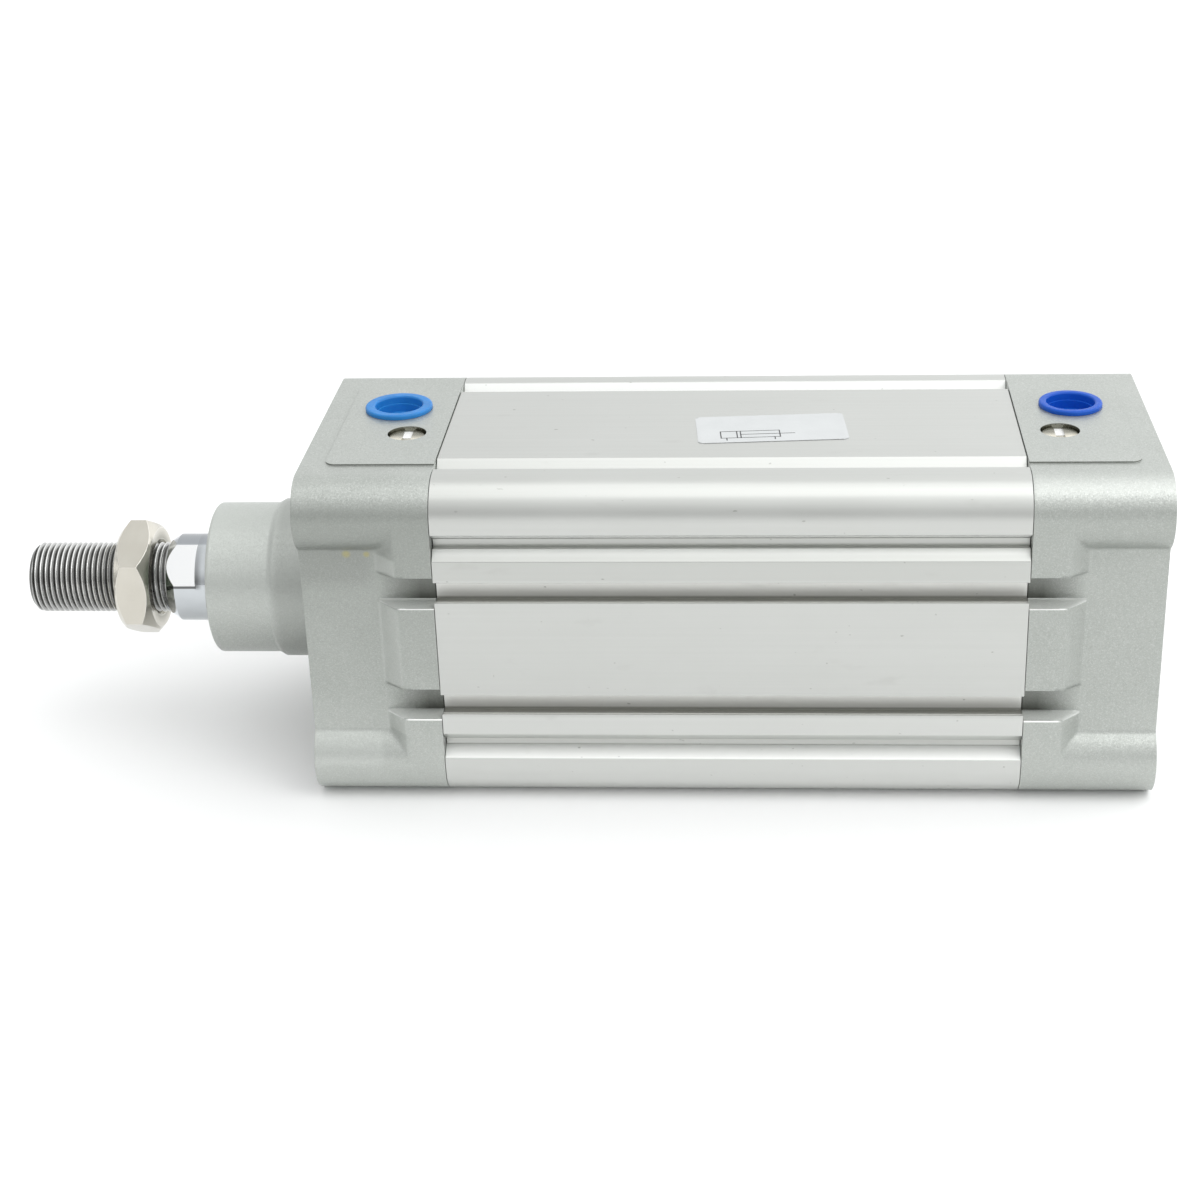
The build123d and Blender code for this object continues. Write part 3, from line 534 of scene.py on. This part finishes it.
def needle_nickel():
    """Nickel-plated needle, with painted shade on the far half of its head and a painted highlight in its
    slot.
    """
    s = Shader("needle_nickel", (0.78, 0.74, 0.63), 0.26, 1.0)
    along = s.math("SUBTRACT", s.axis("y"), NEEDLE[1])
    turned = s.mix(s.fit(s.noise(2.0, 2.0), 0.3, 0.7), (0.70, 0.66, 0.55), (0.82, 0.78, 0.67))
    # painted shade: the far half of the head is darker
    turned = s.mix(s.fit(along, -2.0, 0.8, 0.0, 0.8), turned, (0.14, 0.14, 0.115))
    # painted highlight: the floor of the slot is made white
    slot_glint = s.product(s.fit(s.axis("z"), NEEDLE_TOP - 0.45, NEEDLE_TOP - 0.6),
                      s.fit(s.axis("z"), NEEDLE_TOP - 0.9, NEEDLE_TOP - 0.8), s.fit(along, 0.0, 0.3))
    s.color(s.mix(slot_glint, turned, (1.0, 1.0, 1.0)))
    s.metal(s.fit(slot_glint, 0.0, 1.0, 1.0, 0.05))
    s.rough(s.fit(s.noise(0.4, 2.0), 0.3, 0.7, 0.22, 0.32))
    s.bump(s.noise(0.6, 2.0), 0.002)
    return s.material


def lathe_turned(name, color, roughness):
    """Turned metal: tool rings across X."""
    s = Shader(name, color, roughness, 1.0)
    rings = s.noise(0.35, 1.0, (1, 0.01, 0.01))
    s.color(s.mix(s.fit(rings, 0.3, 0.7), tuple(c * 0.85 for c in color), color))
    s.rough(s.fit(s.noise(3.0, 2.0), 0.3, 0.7, roughness * 0.8, roughness * 1.2))
    s.bump(rings, 0.008)
    return s.material


def moulded(name, color, roughness, grain_mm=0.5, depth_mm=0.01, **sockets):
    """Moulded rubber or plastic with a faint skin texture and slight tone changes."""
    s = Shader(name, color, roughness, 0.0, **sockets)
    grain = s.noise(grain_mm, 3.0)
    lighter = tuple(min(1.0, channel * 1.15 + 0.004) for channel in color)
    s.color(s.mix(s.fit(s.noise(6.0, 2.0), 0.3, 0.7), color, lighter))
    s.rough(s.fit(grain, 0.3, 0.7, roughness * 0.85, roughness * 1.15))
    s.bump(grain, depth_mm)
    return s.material


def paper():
    """Matt label stock with a faint tooth and a slight crease."""
    s = Shader("label_paper", (0.60, 0.62, 0.625), 0.62)
    fibre = s.noise(0.25, 3.0)
    s.color(s.mix(s.fit(s.noise(8.0, 3.0), 0.3, 0.7), (0.56, 0.575, 0.58), (0.59, 0.605, 0.61)))
    s.rough(s.fit(fibre, 0.3, 0.7, 0.55, 0.70))
    s.bump(fibre, 0.006)
    s.bump(s.noise(12.0, 1.0, (1, 2.5, 1)), 0.12)
    return s.material


def ink():
    s = Shader("label_ink", (0.03, 0.03, 0.035), 0.5)
    s.color(s.mix(s.noise(0.4, 3.0), (0.02, 0.02, 0.022), (0.07, 0.07, 0.075)))
    return s.material


def floor_material():
    s = Shader("pale_floor", (0.94, 0.94, 0.94), 0.9)
    s.color(s.mix(s.noise(300.0, 2.0), (0.93, 0.93, 0.93), (0.95, 0.95, 0.95)))
    return s.material


BLACK = (0.018, 0.018, 0.018)
SOFT_PLASTIC = {"Subsurface_Weight": 0.10, "Subsurface_Scale": 0.002}
MATERIALS = {
    "profile_tube": anodised_aluminium(),
    "cap": cap_lacquer(),
    "zinc": bare_steel("zinc_plate", (0.62, 0.64, 0.65), 0.34),
    "nickel": nut_nickel(),
    # painted highlight: the nut's bevelled edges get a much lighter nickel
    "nickel_edge": bare_steel("nickel_edge_highlight", (0.93, 0.91, 0.86), 0.20, 0.4),
    "chrome": chrome(),
    "thread": cut_thread(),
    "needle": needle_nickel(),
    "turned": lathe_turned("turned_aluminium", (0.78, 0.79, 0.80), 0.28),
    "bronze": lathe_turned("sintered_bronze", (0.55, 0.38, 0.22), 0.45),
    "rubber": moulded("nitrile_rubber", BLACK, 0.55, 0.4),
    "polyurethane": moulded("polyurethane", (0.05, 0.09, 0.05), 0.40, 0.6, 0.006),
    "guide": moulded("bearing_plastic", (0.05, 0.05, 0.055), 0.50, 0.3),
    "magnet": moulded("bonded_ferrite", (0.045, 0.045, 0.05), 0.60, 0.25),
    "front_plug": moulded("light_blue_polyethylene", (0.014, 0.180, 0.50), 0.42, 0.8,
                          Specular_IOR_Level=0.35, **SOFT_PLASTIC),
    "rear_plug": moulded("deep_blue_polyethylene", (0.002, 0.078, 0.46), 0.42, 0.8,
                         Specular_IOR_Level=0.30, **SOFT_PLASTIC),
    "paper": paper(),
    "ink": ink(),
}

NODE_MATERIAL = {
    "profile_tube": "profile_tube",
    "front_cap": "cap",
    "front_nose": "cap",
    "rear_cap": "cap",
    "front_cap_screws": "zinc",
    "rear_cap_screws": "zinc",
    "front_tube_seal": "rubber",
    "rear_tube_seal": "rubber",
    "front_cushion_seal": "polyurethane",
    "rear_cushion_seal": "polyurethane",
    "rod_bearing": "bronze",
    "rod_seal": "polyurethane",
    "label": "paper",
    "front_piston_seal": "polyurethane",
    "rear_piston_seal": "polyurethane",
    "guide_ring": "guide",
    "front_piston_half": "turned",
    "rear_piston_half": "turned",
    "piston_magnet": "magnet",
    "rod_o_ring": "rubber",
    "front_bumper": "rubber",
    "rear_bumper": "rubber",
    "front_cushion_spear": "turned",
    "rear_cushion_spear": "turned",
    "piston_nut": "zinc",
    "rod_nut": "nickel",
    "front_port_plug": "front_plug",
    "rear_port_plug": "rear_plug",
    "front_cushion_needle": "needle",
    "rear_cushion_needle": "needle",
    "front_needle_seal": "rubber",
    "rear_needle_seal": "rubber",
}


def finish_node(name, material, bevel_mm=0.0, edge_material=None):
    """Gives a CAD node its material, smooth shading and softly rounded edges."""
    obj = nodes[name]
    obj.data.materials.clear()
    obj.data.materials.append(material)
    if edge_material:
        obj.data.materials.append(edge_material)
    weld = obj.modifiers.new("weld", "WELD")
    weld.merge_threshold = 1e-6
    if bevel_mm:
        bevel = obj.modifiers.new("soft_edges", "BEVEL")
        bevel.width = bevel_mm * MM
        bevel.segments = 2
        bevel.limit_method = "ANGLE"
        bevel.angle_limit = math.radians(35)
        bevel.use_clamp_overlap = True
        bevel.harden_normals = False
        bevel.material = 1 if edge_material else -1
    for polygon in obj.data.polygons:
        polygon.use_smooth = True
    normals = obj.modifiers.new("normals", "WEIGHTED_NORMAL")
    normals.keep_sharp = True


BEVELS = {
    "front_cap": 0.22,
    "front_nose": 0.22,
    "rear_cap": 0.22,
    "profile_tube": 0.18,
    "rod_nut": 0.25,
    "front_cap_screws": 0.2,
    "rear_cap_screws": 0.2,
    "front_cushion_needle": 0.15,
    "rear_cushion_needle": 0.15,
    "label": 0.0,
}

for node_name, key in NODE_MATERIAL.items():
    # the nut's bevels take the painted highlight
    nut_edge_highlight = MATERIALS["nickel_edge"] if node_name == "rod_nut" else None
    finish_node(node_name, MATERIALS[key], BEVELS.get(node_name, 0.1), nut_edge_highlight)


# ---------------------------------------------------------------- pieces made here

def new_object(name, mesh, *materials):
    obj = bpy.data.objects.new(name, mesh)
    bpy.context.scene.collection.objects.link(obj)
    for material in materials:
        mesh.materials.append(material)
    return obj


def thread_radius(phase):
    """Radius of the thread at a share of one pitch: a flat crest, two curved flanks and a flat root."""
    level = 0.12                        # share of half a pitch that is flat, at the root and at the crest
    curve = 0.06                        # how strongly the flanks bend
    from_root = abs(phase - 0.5) * 2
    rise = min(1.0, max(0.0, (from_root - level) / (1 - 2 * level)))
    eased = rise + curve * math.sin(2 * math.pi * rise)
    return THREAD_R - THREAD_DEPTH * (1 - eased)


def helical_thread(bm, start_x, end_x, steps=96, per_pitch=12):
    """Adds the surface of a right-hand thread between two X places, open at the inner end.

    Each row closes on its own start, a pitch nearer the tip, which leaves a fine seam along the +Y side.
    """
    turns = (end_x - start_x) / THREAD_PITCH + 1
    runout_length = THREAD_PITCH * 1.2
    runout_r = THREAD_R - 0.6
    rows = []
    for row in range(int(turns * per_pitch) + 1):
        ring = []
        for step in range(steps):
            angle = 2 * math.pi * step / steps
            shift = row / per_pitch - 1 + step / steps
            x = min(max(start_x + shift * THREAD_PITCH, start_x), end_x)
            radius = thread_radius(((x - start_x) / THREAD_PITCH - step / steps) % 1.0)
            radius = min(radius, THREAD_R - THREAD_CHAMFER + (x - start_x))
            runout = (end_x - x) / runout_length
            if runout < 1:
                radius += (runout_r - radius) * (1 - runout) * 0.8
            ring.append(bm.verts.new((x * MM, radius * math.cos(angle) * MM, radius * math.sin(angle) * MM)))
        rows.append(ring)
    for low, high in zip(rows, rows[1:]):
        for step in range(steps):
            after = (step + 1) % steps
            bm.faces.new((low[step], low[after], high[after], high[step]))
    return rows


CHROMED, CUT = 0, 1                 # the threaded rod's material slots
CREASE = {CHROMED: math.radians(20), CUT: math.radians(32)}


def threaded_rod():
    """The rod with its real thread: the CAD rod cut off at the shoulder, plus a helical thread."""
    bm = bmesh.new()
    bm.from_mesh(nodes["piston_rod"].data)
    bmesh.ops.remove_doubles(bm, verts=bm.verts, dist=1e-7)
    geometry = bm.verts[:] + bm.edges[:] + bm.faces[:]
    cut_x = (ROD_SHOULDER + 0.02) * MM
    cut = bmesh.ops.bisect_plane(bm, geom=geometry, plane_co=(cut_x, 0, 0), plane_no=(1, 0, 0),
                                 clear_inner=True)
    rim = [e for e in cut["geom_cut"] if isinstance(e, bmesh.types.BMEdge)]
    bmesh.ops.triangle_fill(bm, edges=rim, use_beauty=True)
    for face in bm.faces:
        face.smooth = True
        face.material_index = CHROMED
    known = set(bm.faces)
    rows = helical_thread(bm, THREAD_END, ROD_SHOULDER + THREAD_OVERLAP)
    centre = bm.verts.new((THREAD_END * MM, 0, 0))
    first = rows[0]
    for step, vert in enumerate(first):
        bm.faces.new((centre, first[(step + 1) % len(first)], vert))
    for face in bm.faces:
        if face not in known:
            face.smooth = True
            face.material_index = CUT
    bmesh.ops.remove_doubles(bm, verts=bm.verts, dist=1e-8)
    bmesh.ops.dissolve_degenerate(bm, dist=1e-8, edges=bm.edges)
    bmesh.ops.recalc_face_normals(bm, faces=bm.faces)
    for edge in bm.edges:
        crease = CREASE[edge.link_faces[0].material_index]
        edge.smooth = edge.is_manifold and edge.calc_face_angle() < crease
    mesh = bpy.data.meshes.new("threaded_rod")
    bm.to_mesh(mesh)
    bm.free()
    mesh.attributes.remove(mesh.attributes["custom_normal"])
    return new_object("threaded_rod", mesh, MATERIALS["chrome"], MATERIALS["thread"])


rod = threaded_rod()
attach(rod, "rod")
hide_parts("piston_rod")


def label_print():
    """Generic circuit symbol of a double-acting cylinder, printed on the label."""
    bm = bmesh.new()
    line = 0.32

    def bar(x0, y0, x1, y1):
        low_x, high_x = sorted((x0, x1))
        low_y, high_y = sorted((y0, y1))
        corners = [
            (low_x - line / 2, low_y - line / 2), (high_x + line / 2, low_y - line / 2),
            (high_x + line / 2, high_y + line / 2), (low_x - line / 2, high_y + line / 2),
        ]
        verts = [bm.verts.new((x * MM, y * MM, 0)) for x, y in corners]
        bm.faces.new(verts)

    left, right, low, high = -14.0, 2.0, -6.6, -1.8
    middle = (low + high) / 2
    bar(left, low, right, low)
    bar(left, high, right, high)
    bar(left, low, left, high)
    bar(right, low, right, high)
    piston = left + 4.4
    bar(piston, low, piston, high)
    bar(piston + 1.0, low, piston + 1.0, high)
    bar(piston + 1.0, middle, right + 4.0, middle)
    for port_x in (left + 1.5, right - 1.5):
        bar(port_x, low, port_x, low - 1.6)
    mesh = bpy.data.meshes.new("label_print")
    bm.to_mesh(mesh)
    bm.free()
    place = Matrix.Translation((LABEL_AT[0] * MM, LABEL_AT[1] * MM, (LABEL_TOP + 0.01) * MM))
    mesh.transform(place @ Matrix.Rotation(LABEL_TURN, 4, "Z"))
    obj = new_object("label_print", mesh, MATERIALS["ink"])
    solid = obj.modifiers.new("ink", "SOLIDIFY")
    solid.thickness = 0.015 * MM
    solid.offset = 0
    return obj


symbol = label_print()
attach(symbol, "barrel")


# ---------------------------------------------------------------- floor, light, camera

def floor():
    """A wide pale floor just under the cylinder."""
    mesh = bpy.data.meshes.new("floor")
    height = -HALF * MM - FLOOR_GAP
    square = ((-1, -1), (1, -1), (1, 1), (-1, 1))
    mesh.from_pydata([(x * FLOOR_HALF, y * FLOOR_HALF, height) for x, y in square], [], [(0, 1, 2, 3)])
    new_object("floor", mesh, floor_material())


def softbox(name, place, target, size, radiance):
    light = bpy.data.lights.new(name, "AREA")
    light.shape = "RECTANGLE"
    light.size, light.size_y = size
    light.energy = radiance * math.pi * size[0] * size[1]
    obj = bpy.data.objects.new(name, light)
    bpy.context.scene.collection.objects.link(obj)
    obj.location = place
    obj.rotation_euler = (Vector(target) - Vector(place)).to_track_quat("-Z", "Y").to_euler()


def world():
    """A light tent: darkest low on the photographer's side, even overhead and behind."""
    studio = bpy.data.worlds.new("studio")
    bpy.context.scene.world = studio
    studio.use_nodes = True
    tree = studio.node_tree

    def math_node(operation, *values):
        node = tree.nodes.new("ShaderNodeMath")
        node.operation = operation
        for socket, value in zip(node.inputs, values):
            if isinstance(value, bpy.types.NodeSocket):
                tree.links.new(value, socket)
            else:
                socket.default_value = value
        return node.outputs[0]

    where = tree.nodes.new("ShaderNodeTexCoord")
    split = tree.nodes.new("ShaderNodeSeparateXYZ")
    tree.links.new(where.outputs["Generated"], split.inputs[0])
    towards_viewer = math_node("MULTIPLY", split.outputs["Y"], -1.0)
    around = math_node("ARCTAN2", split.outputs["Z"], towards_viewer)
    ramp = tree.nodes.new("ShaderNodeValToRGB")
    tree.links.new(math_node("DIVIDE", around, math.pi), ramp.inputs["Fac"])
    background = tree.nodes["Background"]
    tree.links.new(ramp.outputs["Color"], background.inputs["Color"])
    lean = math_node("MULTIPLY_ADD", split.outputs["X"], TENT_LEAN, 1.0)
    brightest = max(radiance for _, radiance in TENT)
    tree.links.new(math_node("MULTIPLY", lean, brightest), background.inputs["Strength"])
    while len(ramp.color_ramp.elements) < len(TENT):
        ramp.color_ramp.elements.new(1.0)
    for element, (angle, radiance) in zip(ramp.color_ramp.elements, TENT):
        share = radiance / brightest
        element.position = angle / 180
        element.color = (share * 0.99, share, share, 1)


def camera():
    """The camera of the photograph: its aim, distance, lens and slight roll."""
    azimuth, elevation, roll = (math.radians(a) for a in (3.70, 24.92, -1.60))
    back = Vector((math.sin(azimuth) * math.cos(elevation),
                   -math.cos(azimuth) * math.cos(elevation),
                   math.sin(elevation)))
    aim = Vector((0.08826, 0.0, -0.00115))
    distance = 0.6326
    lens = bpy.data.cameras.new("camera")
    lens.sensor_width = 36.0
    lens.lens = 66.77
    lens.shift_x, lens.shift_y = -0.035, -0.0167
    lens.clip_start = 0.01
    obj = bpy.data.objects.new("camera", lens)
    bpy.context.scene.collection.objects.link(obj)
    turn = (-back).to_track_quat("-Z", "Y").to_matrix().to_4x4() @ Matrix.Rotation(roll, 4, "Z")
    obj.matrix_world = Matrix.Translation(aim + back * distance) @ turn
    bpy.context.scene.camera = obj


floor()
world()
softbox("overhead", (0.35, -0.25, 1.0), (0.35, -0.25, 0.0), (1.1, 0.85), 0.70)
softbox("key", (0.60, -0.30, 0.55), (0.08, 0.0, 0.0), (0.4, 0.4), 1.4)
camera()
bpy.context.scene.view_settings.view_transform = "Standard"
